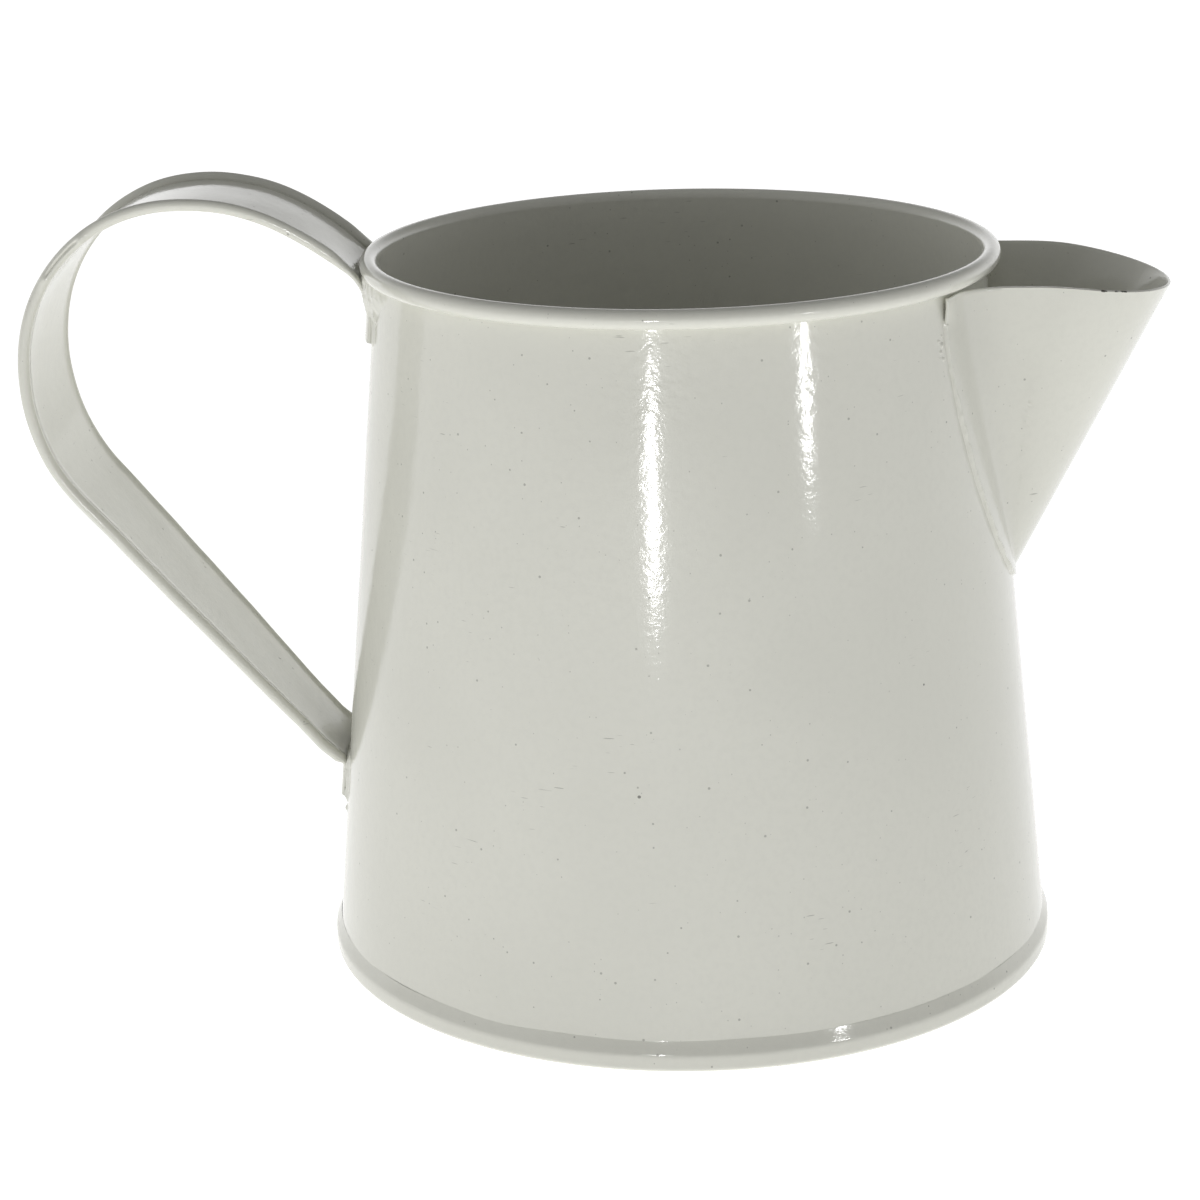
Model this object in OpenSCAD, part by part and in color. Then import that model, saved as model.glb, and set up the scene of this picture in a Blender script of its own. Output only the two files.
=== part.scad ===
// A jug-shaped watering can in painted sheet steel: conical body, beak spout and strap handle.
// The origin is on the body's axis, in the plane that the can stands on. +X points towards the spout.

/* [Body] */
// Outside diameter of the seam round the foot
base_d = 120; // [114:1:126]
// Outside diameter of the wall at the height of the rim
mouth_d = 96.6; // [92:0.2:100]
// Height of the middle of the rim's bead
rim_h = 114.4; // [112:0.2:118]
// Thickness of the sheet
sheet = 0.5; // [0.4:0.05:0.6]
// Diameter of the wire in the rim
wire_d = 2; // [1.6:0.1:2.2]
// Height of the seam round the foot
seam_h = 5; // [4.5:0.5:6]
// Height of the underside of the base above the ground
base_lift = 3; // [2:0.5:3.5]

/* [Spout] */
// Furthest point of the spout from the body's axis
spout_reach = 77.5; // [74:0.5:82]
// Height of the spout's lip at its tip
lip_tip_h = 109.4; // [108:0.2:110]
// Height of the spout's lip at the wall
lip_root_h = 112.2; // [111:0.2:112.4]
// Height of the spout's lowest point
spout_foot_h = 62; // [58:1:66]
// Radius of the spout's nose at the lip
nose_top_r = 18; // [16:0.5:20]
// Radius of the spout's nose at its lowest point
nose_foot_r = 8.7; // [7:0.1:10]
// Half the width of the spout's flange, measured straight across
flange_half_w = 26.5; // [24:0.5:28]
// Radius of the opening in the wall behind the spout
passage_r = 13; // [10:0.5:13]

/* [Handle] */
// Width of the strap at its widest
strap_w = 28; // [24:1:30]
// Width of the strap at its foot
strap_foot_w = 19; // [17:1:22]
// Thickness of the strap's rolled edges
edge_t = 1.9; // [1.6:0.1:2.2]
// Radius of the strap's bend next to the rim
bend_rim_r = 33; // [32:0.5:34]
// Radius of the strap's bend at the back
bend_back_r = 26; // [25:0.5:27]
// Radius of the strap's bend into its straight run
bend_run_r = 32; // [31:0.5:33]

/* [Hidden] */
$fn = 96;
paint = [0.78, 0.78, 0.75];
solder_paint = [0.70, 0.70, 0.67];
bare_steel = [0.55, 0.56, 0.57];
far = 200;

// Body
base_r = base_d / 2;
seam_proud = 0.5;
foot_r = base_r - seam_proud;
mouth_r = mouth_d / 2;
wire_r = wire_d / 2;
bead_r = wire_r + sheet;
rim_r = mouth_r - sheet + bead_r;
seam_round = 0.9;
seam_fillet_h = 1.4;
side_seam_w = 4;
side_seam_t = 0.3;

// Spout
nose_slope = (nose_top_r - nose_foot_r) / (lip_tip_h - spout_foot_h);
front_slope = (spout_reach - wall_r(spout_foot_h)) / (lip_tip_h - spout_foot_h);
spout_top = 116;
form_below = 6;
nose_back_x = 40;
flange_h = 47;
flange_top = lip_root_h - 0.4;
flange_mid_h = spout_foot_h + flange_h - 0.5;
spout_solder_w = 1.2;
passage_h = 88;

// Handle. The path starts at the rim, runs over the back and comes down to the wall.
path_start = [-49.5, 112.3];
path_heading = 141;
back_heading = 186;
run_in_heading = 255;
run_heading = 310.5;
run_length = 68;
rim_run = 9;
path_step = 5;
tab_t = 1;
top_tab_foot = 103.6;
top_tab_bend = 107;
foot_tab_top = 34;
foot_tab_foot = 25.5;
drip_foot = 21.5;
drip_w = 12;
neck_w = 24.8;
tab_w = 26;

// Outside radius of the wall at height z
function wall_r(z) = foot_r - (foot_r - mouth_r) * z / rim_h;

// Points of a round corner, from angle a to angle b about a centre
function corner(x, z, r, a, b) = [for (i = [0 : 6]) [x + r * cos(a + (b - a) * i / 6), z + r * sin(a + (b - a) * i / 6)]];

// A layer that follows the wall, from "inner" to "outer" outside its outer face, between two heights
module wall_layer(inner, outer, low, high) {
    rotate_extrude()
        polygon([[wall_r(low) + inner, low], [wall_r(low) + outer, low],
                 [wall_r(high) + outer, high], [wall_r(high) + inner, high]]);
}

// The whole space inside the wall's outer face
module body_space() {
    cylinder(h = rim_h, r1 = foot_r, r2 = mouth_r);
    translate([0, 0, rim_h])
        cylinder(h = bead_r, r = mouth_r);
}

// A ring of round section along the rim
module rim_ring(r) {
    rotate_extrude()
        translate([rim_r, rim_h])
            circle(r = r, $fn = 48);
}

module body_wall() {
    color(paint)
        difference() {
            union() {
                wall_layer(-sheet, 0, sheet, rim_h);
                rim_ring(bead_r);
            }
            rim_ring(wire_r);
            translate([0, 0, passage_h])
                rotate([0, 90, 0])
                    cylinder(h = base_r, r = passage_r);
        }
}

module rim_wire() {
    color(bare_steel)
        rim_ring(wire_r);
}

// The seam is folded round the wall's lower edge: a leg inside, a turn below and a hem outside.
module base_disc() {
    leg_top = base_lift + sheet;
    profile = concat(
        [[0, base_lift], [wall_r(base_lift) - 2 * sheet, base_lift], [wall_r(0) - 2 * sheet, 0]],
        corner(base_r - seam_round, seam_round, seam_round, -90, 0),
        corner(base_r - seam_round / 2, seam_h - seam_round / 2, seam_round / 2, 0, 90),
        [[wall_r(seam_h), seam_h], [wall_r(sheet), sheet], [wall_r(sheet) - sheet, sheet],
         [wall_r(leg_top) - sheet, leg_top], [0, leg_top]]);
    color(paint)
        rotate_extrude()
            polygon(profile);
}

module base_seam_solder() {
    low = base_lift + sheet;
    high = low + seam_fillet_h;
    color(solder_paint)
        rotate_extrude()
            polygon([[wall_r(low) - sheet - seam_fillet_h, low], [wall_r(low) - sheet, low], [wall_r(high) - sheet, high]]);
}

module side_seam_solder() {
    color(solder_paint)
        intersection() {
            wall_layer(-sheet - side_seam_t, -sheet, base_lift + sheet + seam_fillet_h, rim_h - bead_r);
            translate([-far, -side_seam_w / 2, 0])
                cube([far, side_seam_w, far]);
        }
}

// The spout's form: a round nose that leans forwards and widens upwards, carried straight back to the body
module spout_form(grow) {
    hull()
        for (z = [spout_foot_h - form_below, spout_top])
            for (x = [nose_back_x, wall_r(spout_foot_h) + front_slope * (z - spout_foot_h)
                      - nose_foot_r - nose_slope * (z - spout_foot_h)])
                translate([x, 0, z])
                    cylinder(h = 0.01, r = nose_foot_r + nose_slope * (z - spout_foot_h) + grow, $fn = 64);
}

// The flange's outline on the wall, seen along X: half an ellipse that stands on its end, carried straight up
module flange_prism(grow) {
    half = flange_half_w + grow;
    rise = flange_h + grow;
    rotate([90, 0, 90])
        linear_extrude(far)
            polygon(concat([[half, rim_h], [-half, rim_h]],
                [for (i = [0 : 40]) [-half * cos(180 * i / 40), flange_mid_h - rise * sin(180 * i / 40)]]));
}

// Everything above the lip, whose plane falls towards the tip
module above_lip() {
    fall = atan((lip_root_h - lip_tip_h) / (spout_reach - mouth_r));
    translate([mouth_r, 0, lip_root_h])
        rotate([0, fall, 0])
            translate([-far / 2, -far / 2, 0])
                cube(far);
}

module spout() {
    color(paint)
        difference() {
            union() {
                spout_form(0);
                intersection() {
                    wall_layer(-1, sheet, spout_foot_h - form_below, flange_top);
                    flange_prism(0);
                }
            }
            body_space();
            spout_form(-sheet);
            above_lip();
        }
}

// Solder along the outside of the flange's edge, on one side of the can
module spout_solder(side) {
    color(solder_paint)
        intersection() {
            wall_layer(0, sheet, spout_foot_h - form_below, flange_mid_h - 1);
            difference() {
                flange_prism(spout_solder_w);
                flange_prism(0);
                spout_form(0);
            }
            translate([0, side > 0 ? 0 : -far, 0])
                cube(far);
        }
}

module spout_solder_left() {
    spout_solder(1);
}

module spout_solder_right() {
    spout_solder(-1);
}

// The strap's path as points [x, z, heading]: each stretch turns steadily from one heading to the next
function turn(from, heading, r) =
    let (n = ceil((heading - from[2]) / path_step), bit = (heading - from[2]) / n)
    [for (i = [1 : n]) let (a = from[2] + i * bit)
        [from[0] + r * (sin(a) - sin(from[2])), from[1] - r * (cos(a) - cos(from[2])), a]];
function ahead(from, length) = [from[0] + length * cos(from[2]), from[1] + length * sin(from[2]), from[2]];
function last(list) = list[len(list) - 1];

rim_end = ahead([path_start[0], path_start[1], path_heading], rim_run);
rim_bend = turn(rim_end, back_heading, bend_rim_r);
back_bend = turn(last(rim_bend), run_in_heading, bend_back_r);
run_bend = turn(last(back_bend), run_heading, bend_run_r);
strap_path = concat([[path_start[0], path_start[1], path_heading], rim_end], rim_bend, back_bend, run_bend,
    [ahead(last(run_bend), run_length)]);

// The path moved sideways by "out", away from the middle of the loop
function beside(out) = [for (p = strap_path) [p[0] + out * sin(p[2]), p[1] - out * cos(p[2])]];

// A band that follows the path, as wide as the strap gets, between two distances from the path
module strap_band(inner, outer) {
    low = beside(-inner);
    high = beside(-outer);
    rotate([90, 0, 0])
        linear_extrude(strap_w + 1, center = true)
            polygon(concat(low, [for (i = [len(high) - 1 : -1 : 0]) high[i]]));
}

// The strap's outline from behind and from above, narrowed by "less" on each side
module strap_outline(less) {
    foot_half = strap_foot_w / 2 - less;
    full_half = strap_w / 2 - less;
    neck_half = neck_w / 2 - less;
    intersection() {
        rotate([90, 0, 90])
            linear_extrude(2 * far, center = true)
                polygon([[-foot_half, 0], [-foot_half, 30], [-full_half, 98], [-full_half, far],
                         [full_half, far], [full_half, 98], [foot_half, 30], [foot_half, 0]]);
        linear_extrude(far)
            polygon([[-far, -full_half], [-80, -full_half], [-45, -neck_half],
                     [-45, neck_half], [-80, full_half], [-far, full_half]]);
    }
}

// A tab of the strap that lies on the wall
module tab(width, low, high) {
    intersection() {
        wall_layer(0, tab_t, low, high);
        translate([-far, -width / 2, 0])
            cube([far, width, far]);
    }
}

// The stretch that steps round the outside of the rim's bead and down onto the wall
module shoulder() {
    rim_out = rim_r + bead_r;
    intersection() {
        rotate_extrude()
            polygon([[wall_r(top_tab_bend), top_tab_bend], [wall_r(top_tab_bend) + tab_t, top_tab_bend],
                     [rim_out + sheet, rim_h - 1.6], [rim_out + 1.2, rim_h + 0.6],
                     [rim_out + 0.5, rim_h + 1.1], [rim_out, rim_h - 1.4]]);
        translate([-far, -neck_w / 2, 0])
            cube([far, neck_w, far]);
    }
}

module handle_strap() {
    color(paint)
        difference() {
            union() {
                intersection() {
                    strap_band(-edge_t / 2, edge_t / 2);
                    strap_outline(0);
                }
                tab(tab_w, top_tab_foot, top_tab_bend);
                shoulder();
                tab(strap_foot_w, foot_tab_foot, foot_tab_top);
            }
            intersection() {
                strap_band(sheet - edge_t / 2, edge_t);
                strap_outline(edge_t);
            }
            body_space();
            rim_ring(bead_r);
        }
}

// Fills the hollow between the shoulder, the wall and the underside of the bead
module handle_top_solder() {
    color(solder_paint)
        difference() {
            intersection() {
                rotate_extrude()
                    polygon([[wall_r(top_tab_bend), top_tab_bend], [wall_r(top_tab_bend) + tab_t, top_tab_bend],
                             [rim_r + bead_r + sheet, rim_h - 1.6], [wall_r(rim_h - 1), rim_h - 1]]);
                translate([-far, -tab_w / 2 - 1, 0])
                    cube([far, tab_w + 2, far]);
            }
            tab(tab_w, top_tab_foot, top_tab_bend);
            shoulder();
            body_space();
            rim_ring(bead_r);
        }
}

module handle_foot_solder() {
    color(solder_paint)
        intersection() {
            wall_layer(0, tab_t, drip_foot, foot_tab_foot);
            rotate([90, 0, -90])
                linear_extrude(far)
                    polygon([[-drip_w / 2, drip_foot], [drip_w / 2, drip_foot],
                             [strap_foot_w / 2, foot_tab_foot], [-strap_foot_w / 2, foot_tab_foot]]);
        }
}

body_wall();
rim_wire();
base_disc();
base_seam_solder();
side_seam_solder();
spout();
spout_solder_left();
spout_solder_right();
handle_strap();
handle_top_solder();
handle_foot_solder();
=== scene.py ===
"""A jug-shaped watering can in painted sheet steel.

Its pieces, finishes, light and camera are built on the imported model, in the same place and in metres.
"""

import math

import bmesh
import bpy
import numpy as np
from bpy.props import FloatProperty, FloatVectorProperty, PointerProperty
from mathutils import Matrix, Vector


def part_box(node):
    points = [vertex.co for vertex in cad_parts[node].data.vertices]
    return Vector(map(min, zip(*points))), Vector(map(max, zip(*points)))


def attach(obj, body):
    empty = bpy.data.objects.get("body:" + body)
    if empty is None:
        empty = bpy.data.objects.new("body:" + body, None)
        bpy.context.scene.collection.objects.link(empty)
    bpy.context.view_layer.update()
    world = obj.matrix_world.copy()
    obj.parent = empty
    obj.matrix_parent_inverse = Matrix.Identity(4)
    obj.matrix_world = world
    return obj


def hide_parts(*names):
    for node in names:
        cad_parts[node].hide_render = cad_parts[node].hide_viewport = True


bl_info = {
    "name": "Watering can",
    "version": (1, 0, 0),
    "blender": (4, 5, 0),
    "location": "View3D > Sidebar > Can",
    "description": "Builds a painted sheet-steel watering can piece by piece",
    "category": "Add Mesh",
}

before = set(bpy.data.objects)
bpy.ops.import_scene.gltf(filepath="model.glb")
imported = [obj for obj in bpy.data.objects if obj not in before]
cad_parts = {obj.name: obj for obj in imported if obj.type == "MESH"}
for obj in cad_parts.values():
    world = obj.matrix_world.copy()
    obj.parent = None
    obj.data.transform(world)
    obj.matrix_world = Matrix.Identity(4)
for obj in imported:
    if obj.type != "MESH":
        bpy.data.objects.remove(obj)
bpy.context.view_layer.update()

MM = 0.001
DEGREE = math.pi / 180

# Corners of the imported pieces' boxes
_, wall_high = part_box("body_wall")
wire_low, wire_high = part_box("rim_wire")
_, base_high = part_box("base_disc")
spout_low, spout_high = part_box("spout")
strap_low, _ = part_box("handle_strap")
side_seam_low, side_seam_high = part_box("side_seam_solder")
base_seam_low, base_seam_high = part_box("base_seam_solder")

# Body: a cone of sheet with a wire in its rim and a folded seam at its foot
BASE_R = base_high.x
SEAM_H = base_high.z
WIRE_R = (wire_high.z - wire_low.z) / 2
RIM_H = (wire_high.z + wire_low.z) / 2
RIM_R = wire_high.x - WIRE_R
BEAD_R = wall_high.z - RIM_H
SHEET = BEAD_R - WIRE_R
MOUTH_R = RIM_R - WIRE_R
FOOT_R = MOUTH_R + (wall_high.x - MOUTH_R) / (1 - SHEET / RIM_H)
LEAN = (FOOT_R - MOUTH_R) / RIM_H
WALL_HEADING = 90 - math.degrees(math.atan(LEAN))
BASE_TOP = base_seam_low.z
BASE_LIFT = BASE_TOP - SHEET
PASSAGE_R = 13 * MM
PASSAGE_H = 88 * MM

# Spout: an upright nose that leans forwards and widens upwards, with a flange on the wall
SPOUT_FOOT = spout_low.z + 0.5 * MM
SPOUT_REACH = spout_high.x - 0.1 * MM
LIP_TIP = 109.4 * MM
LIP_ROOT = 112.2 * MM
LIP_BEND_X = 60 * MM
NOSE_TOP_R = 18 * MM
NOSE_FOOT_R = 8.7 * MM
FLANGE_HALF = spout_high.y
FLANGE_MID = 108.5 * MM

# Handle: the strap's tabs, its bends and its rolled edges
TOP_TAB_FOOT = 102.9 * MM
TOP_TAB_HALF = 12.9 * MM
FOOT_TAB_END = strap_low.z
FOOT_TAB_HALF = 9.5 * MM
STRAP_HALF = 14 * MM
HEM_R = 0.95 * MM

# Fineness of the meshes: steps round the axis, and rows and columns of one half of the spout
AROUND = 288
SPOUT_ROWS = 120
FLANGE_STEPS, BEND_STEPS, SIDE_STEPS, NOSE_STEPS = 14, 12, 10, 26

# Sines added together in each random ripple
WAVES = 14


def wall_r(z):
    """Outside radius of the wall at height z: it shrinks evenly upwards."""
    return FOOT_R - LEAN * z


# ---------------------------------------------------------------- shapes

def smooth(low, high, x):
    """0 below low, 1 above high, and a smooth S between them."""
    t = np.clip((x - low) / (high - low), 0, 1)
    return t * t * (3 - 2 * t)


def hump(x, middle, width):
    """A bell of height 1 about the middle, which falls to 1/e at the width."""
    return np.exp(-(((x - middle) / width) ** 2))


def ripple(u, v, size, seed):
    """Smooth random waves over u and v, mostly between -1 and 1.

    They are a sum of sines of random direction, length and phase.
    """
    draw = np.random.default_rng(seed)
    total = 0
    for turn, stretch, phase in draw.uniform((0, 0.6, 0), (math.tau, 1.7, math.tau), (WAVES, 3)):
        along = u * math.cos(turn) + v * math.sin(turn)
        total = total + np.sin(along * math.tau / (size * stretch) + phase)
    return total / math.sqrt(2 * WAVES)


def arc(x, z, radius, start, end, steps):
    """Points of a circle's arc about (x, z), between two angles in degrees."""
    angle = np.radians(np.linspace(start, end, steps + 1))
    return np.stack([x + radius * np.cos(angle), z + radius * np.sin(angle)], axis=1)


def run(start, end, steps):
    """Points spaced evenly along a straight line, without its two ends."""
    t = np.linspace(0, 1, steps + 1)[1:-1, None]
    return np.array(start) * (1 - t) + np.array(end) * t


def wall_run(offset, low, high, steps):
    """Points up the wall at a distance outside its outer face."""
    z = np.linspace(low, high, steps + 1)
    return np.stack([wall_r(z) + offset, z], axis=1)


def round_axis(radius, angle, z):
    """Points on circles about the Z axis: x = radius cos(angle), y = radius sin(angle)."""
    radius, angle, z = np.broadcast_arrays(radius, angle, z)
    return np.stack([radius * np.cos(angle), radius * np.sin(angle), z], axis=-1)


def grid_faces(rows, columns, rows_closed=False, columns_closed=False):
    """Quads between neighbouring rows and columns of a grid; a closed grid's last ones join its first."""
    i = np.repeat(np.arange(rows - 1 + rows_closed), columns - 1 + columns_closed)
    j = np.tile(np.arange(columns - 1 + columns_closed), rows - 1 + rows_closed)
    here, after = i * columns, (i + 1) % rows * columns
    j_next = (j + 1) % columns
    return np.stack([here + j, here + j_next, after + j_next, after + j], axis=1)


def add_piece(name, points, faces, material, nodes, wear=0.0, sharp=50):
    """Makes one piece from points and faces. Wear is 1 at each point of a worn edge and 0 elsewhere."""
    points = np.asarray(points, dtype=float).reshape(-1, 3)
    mesh = bpy.data.meshes.new(name)
    mesh.from_pydata(points.tolist(), [], [list(face) for face in faces])
    layer = mesh.attributes.new("wear", "FLOAT", "POINT")
    layer.data.foreach_set("value", np.broadcast_to(np.ravel(wear), len(points)).astype(np.float32))
    tidy_mesh(mesh)
    mesh.shade_smooth()
    mesh.set_sharp_from_angle(angle=sharp * DEGREE)
    mesh.materials.append(material)
    piece = bpy.data.objects.new(name, mesh)
    bpy.context.scene.collection.objects.link(piece)
    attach(piece, "root")
    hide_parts(*nodes)
    return piece


def tidy_mesh(mesh):
    """Joins points that coincide, drops faces without area and turns every face outwards."""
    work = bmesh.new()
    work.from_mesh(mesh)
    bmesh.ops.remove_doubles(work, verts=work.verts, dist=0.002 * MM)
    bmesh.ops.dissolve_degenerate(work, edges=work.edges, dist=0.001 * MM)
    bmesh.ops.recalc_face_normals(work, faces=work.faces)
    work.to_mesh(mesh)
    work.free()


def blanket(front, back):
    """Points and faces of a closed slab between two grids of the same size."""
    rows, columns = front.shape[:2]
    sheet = grid_faces(rows, columns)
    count = rows * columns
    index = np.arange(count).reshape(rows, columns)
    border = np.concatenate([index[0, :-1], index[:-1, -1], index[-1, :0:-1], index[:0:-1, 0]])
    after = np.roll(border, -1)
    sides = np.stack([border, border + count, after + count, after], axis=1)
    points = np.concatenate([front.reshape(-1, 3), back.reshape(-1, 3)])
    return points, np.concatenate([sheet, sheet[:, ::-1] + count, sides])


def add_solder(name, front, back, material):
    """Makes a piece of solder, a slab between its face and its hidden side, for the node of its name."""
    points, faces = blanket(front, back)
    add_piece(name, points, faces, material, [name.lower()])


# ---------------------------------------------------------------- finishes

class Wire:
    """One output of a material's nodes. Arithmetic on it adds Math nodes."""

    def __init__(self, tree, socket=None):
        self.tree = tree
        self.socket = socket

    def node(self, kind, settings=None, inputs=None, output=0):
        """Adds any node: first its settings, then the values or links of its sockets."""
        made = self.tree.nodes.new(kind)
        for name, value in (settings or {}).items():
            setattr(made, name, value)
        for name, value in (inputs or {}).items():
            if isinstance(value, Wire):
                self.tree.links.new(value.socket, made.inputs[name])
            else:
                made.inputs[name].default_value = value
        return Wire(self.tree, made.outputs[output])

    def math(self, operation, *values):
        return self.node("ShaderNodeMath", {"operation": operation}, dict(enumerate(values)))

    def absolute(self):
        return self.math("ABSOLUTE", self)

    def __add__(self, other):
        return self.math("ADD", self, other)

    def __sub__(self, other):
        return self.math("SUBTRACT", self, other)

    def __rsub__(self, other):
        return self.math("SUBTRACT", other, self)

    def __mul__(self, other):
        return self.math("MULTIPLY", self, other)

    __radd__ = __add__
    __rmul__ = __mul__

    def step(self, low, high):
        """0 below low and 1 above high, smooth between; low may be the greater of the two."""
        if low > high:
            return 1 - self.step(high, low)
        return self.node("ShaderNodeMapRange", {"interpolation_type": "SMOOTHSTEP"},
                         {"Value": self, "From Min": low, "From Max": high})

    def mixed(self, under, over):
        """The colour under where this is 0 and over where it is 1."""
        return self.node("ShaderNodeMix", {"data_type": "RGBA"}, {0: self, 6: under, 7: over}, output=2)


def rgba(colour, brightness=1.0):
    """The colour with its brightness scaled, and no transparency."""
    return (*[c * brightness for c in colour], 1.0)


def noise(at, scale, detail=2.0, roughness=0.5):
    """Soft random clouds between 0 and 1, with scale of them to a metre."""
    return at.node("ShaderNodeTexNoise", None,
                   {"Vector": at, "Scale": scale, "Detail": detail, "Roughness": roughness})


def stretched(at, scale, turn=(0, 0, 0)):
    """The same coordinates, turned and scaled separately along X, Y and Z."""
    return at.node("ShaderNodeMapping", None, {"Vector": at, "Rotation": turn, "Scale": scale})


def specks(at, scale, share, size):
    """1 inside small round specks: one in some of a Voronoi pattern's cells, none larger than size in cells."""
    cells = {"Vector": at, "Scale": scale}
    distance = at.node("ShaderNodeTexVoronoi", None, cells, output="Distance")
    colour = at.node("ShaderNodeTexVoronoi", None, cells, output="Color")
    luck = colour.node("ShaderNodeSeparateColor", None, {"Color": colour}, output="Red")
    grown = luck.step(1 - share, 1.0) * size
    return (grown - distance).step(0.0, size * 0.35)


def new_finish(name):
    """A material with one Principled shader: the material, its shader node and a first wire."""
    material = bpy.data.materials.new(name)
    material.use_nodes = True
    tree = material.node_tree
    shader = tree.nodes["Principled BSDF"]
    return material, shader, Wire(tree)


def finish(shader, tree, roughness, colour, normal, metallic=None):
    """Links a finish's wires to the shader's sockets."""
    tree.links.new(colour.socket, shader.inputs["Base Color"])
    tree.links.new(roughness.socket, shader.inputs["Roughness"])
    tree.links.new(normal.socket, shader.inputs["Normal"])
    if metallic is not None:
        tree.links.new(metallic.socket, shader.inputs["Metallic"])


def bumped(heights):
    """Bump nodes chained one after another, from pairs of a height and its depth in metres."""
    normal = None
    for height, depth in heights:
        inputs = {"Height": height, "Strength": 1.0, "Distance": depth}
        if normal is not None:
            inputs["Normal"] = normal
        normal = height.node("ShaderNodeBump", None, inputs)
    return normal


def enamel(name, colours, lumps=0.0):
    """Glossy paint over a dark primer: mottled, peppered with dust, dimpled and chipped at the edges.

    Lumps is the depth of a coarser unevenness in millimetres, for paint that covers solder.
    """
    material, shader, start = new_finish(name)
    at = start.node("ShaderNodeTexCoord", output="Object")
    wear = start.node("ShaderNodeAttribute", {"attribute_name": "wear"}, output="Fac")

    mottle = noise(at, 26, 3.0)
    fine = noise(at, 900, 2.0)
    clouds = mottle.step(0.3, 0.7).mixed(rgba(colours.paint, 0.975), rgba(colours.paint, 1.015))
    clouds = (fine.step(0.35, 0.8) * 0.4).mixed(clouds, rgba(colours.paint, 0.94))
    dust = specks(at, 480, 0.60, 0.115)
    haze = specks(stretched(at, (1.3, 0.9, 1.1)), 800, 0.40, 0.13)
    grit = specks(stretched(at, (0.9, 1.2, 1.0)), 260, 0.10, 0.075)
    painted = (haze * 0.34).mixed(clouds, rgba(colours.primer, 1.5))
    painted = (dust * 0.42).mixed(painted, rgba(colours.primer))
    painted = (grit * 0.75).mixed(painted, rgba(colours.primer, 0.7))
    scratch = noise(stretched(at, (380, 300, 4200), (0.35, 0.25, 0)), 1, 0.0).step(0.78, 0.84)
    scuff = scratch * noise(at, 75, 1.0).step(0.64, 0.68)
    painted = (scuff * 0.5).mixed(painted, rgba(colours.primer, 1.5))

    chip = (wear + (noise(at, 1150, 2.0) - 0.5) * 1.15).step(0.93, 1.02)
    colour = chip.mixed(painted, rgba(colours.primer))

    gloss = 0.10 + (mottle - 0.5) * 0.05 + (fine - 0.5) * 0.06 + dust * 0.15 + scuff * 0.3 + chip * 0.4
    peel = noise(at, colours.peel_scale, 3.0, 0.6)
    heights = [(peel, colours.peel), (noise(at, 330, 1.0), colours.peel * 0.25), (dust + grit, 0.02 * MM),
               (1 - chip, 0.05 * MM)]
    if lumps:
        heights.append((noise(at, 520, 3.0), lumps * MM))
    finish(shader, start.tree, gloss, colour, bumped(heights))
    return material


def bright_wire(name, colours):
    """Drawn steel wire: grey metal with fine lines and a few dark spots."""
    material, shader, start = new_finish(name)
    at = start.node("ShaderNodeTexCoord", output="Object")
    lines = noise(stretched(at, (1, 1, 40)), 160, 3.0)
    spots = noise(at, 350, 3.0).step(0.6, 0.75)
    colour = (lines * 0.5).mixed(rgba(colours.steel), rgba(colours.steel, 0.7))
    colour = (spots * 0.6).mixed(colour, rgba(colours.primer))
    roughness = 0.32 + lines * 0.2 + spots * 0.2
    finish(shader, start.tree, roughness, colour, bumped([(lines, 0.01 * MM)]), 1 - spots * 0.8)
    return material


def pale_floor(name, stage):
    """A matt pale surface that glows, more in front of the can, so that shadows on it stay faint."""
    material, shader, start = new_finish(name)
    at = start.node("ShaderNodeTexCoord", output="Object")
    grain = noise(at, 60, 4.0)
    colour = (grain * 0.4).mixed(rgba(stage.floor), rgba(stage.floor, 0.97))
    finish(shader, start.tree, 0.85 + grain * 0.1, colour, bumped([(grain, 0.02 * MM)]))
    shader.inputs["Specular IOR Level"].default_value = 0.1
    along, across = (at.node("ShaderNodeSeparateXYZ", None, {"Vector": at}, output=axis) for axis in "YX")
    in_front = along.step(0.02, -0.16) * (across + 0.10).absolute().step(0.45, 0.05)
    glow = in_front.mixed(rgba((stage.floor_glow,) * 3), rgba((stage.floor_glow + stage.front_glow,) * 3))
    start.tree.links.new(glow.socket, shader.inputs["Emission Color"])
    shader.inputs["Emission Strength"].default_value = 1.0
    return material


def cached(maker, name, *values):
    """The material of that name, made the first time that it is asked for."""
    return bpy.data.materials.get(name) or maker(name, *values)


# ---------------------------------------------------------------- pieces

def turns_with_seam(radius):
    """Angles round the axis, closer together where the side seam runs down the back."""
    even = np.linspace(0, math.tau, AROUND, endpoint=False)
    near_seam = math.pi + np.linspace(-3, 3, 61) * MM / radius
    return np.unique(np.round(np.concatenate([even, near_seam]), 6))


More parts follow.
